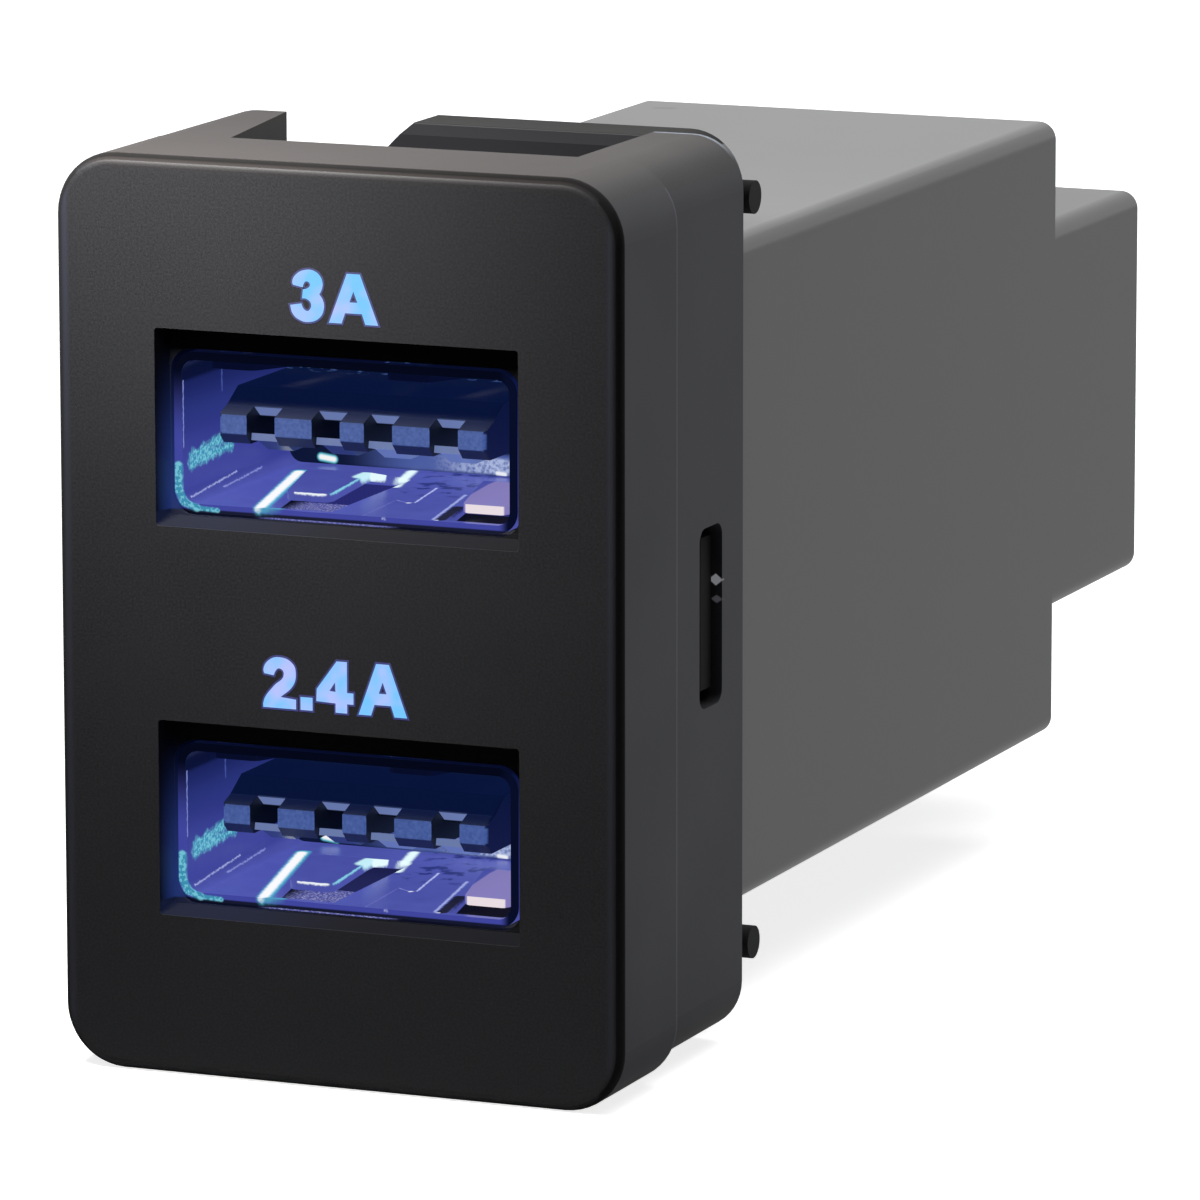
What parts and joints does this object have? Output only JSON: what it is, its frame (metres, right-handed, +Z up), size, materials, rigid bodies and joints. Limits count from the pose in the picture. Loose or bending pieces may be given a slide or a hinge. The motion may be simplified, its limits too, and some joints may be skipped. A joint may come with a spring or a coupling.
{
  "type": "car dual usb socket",
  "caption": "Dash switch blank with two USB-A charging sockets, lit current ratings, a clip-in bezel, a long housing and a rear power inlet.",
  "frame": {"origin": "middle of the bezel's front face", "axes": "+Y into the dash, along the housing; +X to the right as the driver sees the face; +Z up"},
  "size_m": [0.0216, 0.0596, 0.033],
  "materials": {
    "bezel_plastic": "fine grained, satin",
    "housing_plastic": "moulded, satin",
    "shell_steel": "nickel plated",
    "insulator_plastic": "moulded",
    "contact_gold": "gold plated",
    "circuit_board": "green solder mask",
    "clear_guide": "clear polycarbonate",
    "lamp_body": "white body",
    "black_plastic": "moulded",
    "ferrite": "pressed ferrite",
    "capacitor_can": "drawn can",
    "fuse_coating": "dipped coating",
    "blade_tin": "tin plated brass"
  },
  "bodies": {
    "root": {"bezel": "bezel_plastic", "housing": "housing_plastic", "front_board": "circuit_board", "main_board": "circuit_board", "usb_shell_upper": "shell_steel", "usb_insulator_upper": "insulator_plastic", "light_guide_upper": "clear_guide", "legend_led_upper": "lamp_body", "port_led_upper": "lamp_body", "usb_contact_upper_1": "contact_gold", "usb_contact_upper_2": "contact_gold", "usb_contact_upper_3": "contact_gold", "usb_contact_upper_4": "contact_gold", "usb_shell_lower": "shell_steel", "usb_insulator_lower": "insulator_plastic", "light_guide_lower": "clear_guide", "legend_led_lower": "lamp_body", "port_led_lower": "lamp_body", "usb_contact_lower_1": "contact_gold", "usb_contact_lower_2": "contact_gold", "usb_contact_lower_3": "contact_gold", "usb_contact_lower_4": "contact_gold", "link_header": "black_plastic", "link_pins": "contact_gold", "inductor": "ferrite", "input_capacitor": "capacitor_can", "output_capacitor": "capacitor_can", "charge_chip": "black_plastic", "converter_chip": "black_plastic", "fuse": "fuse_coating", "blade_positive": "blade_tin", "blade_negative": "blade_tin"}
  },
  "joints": []
}
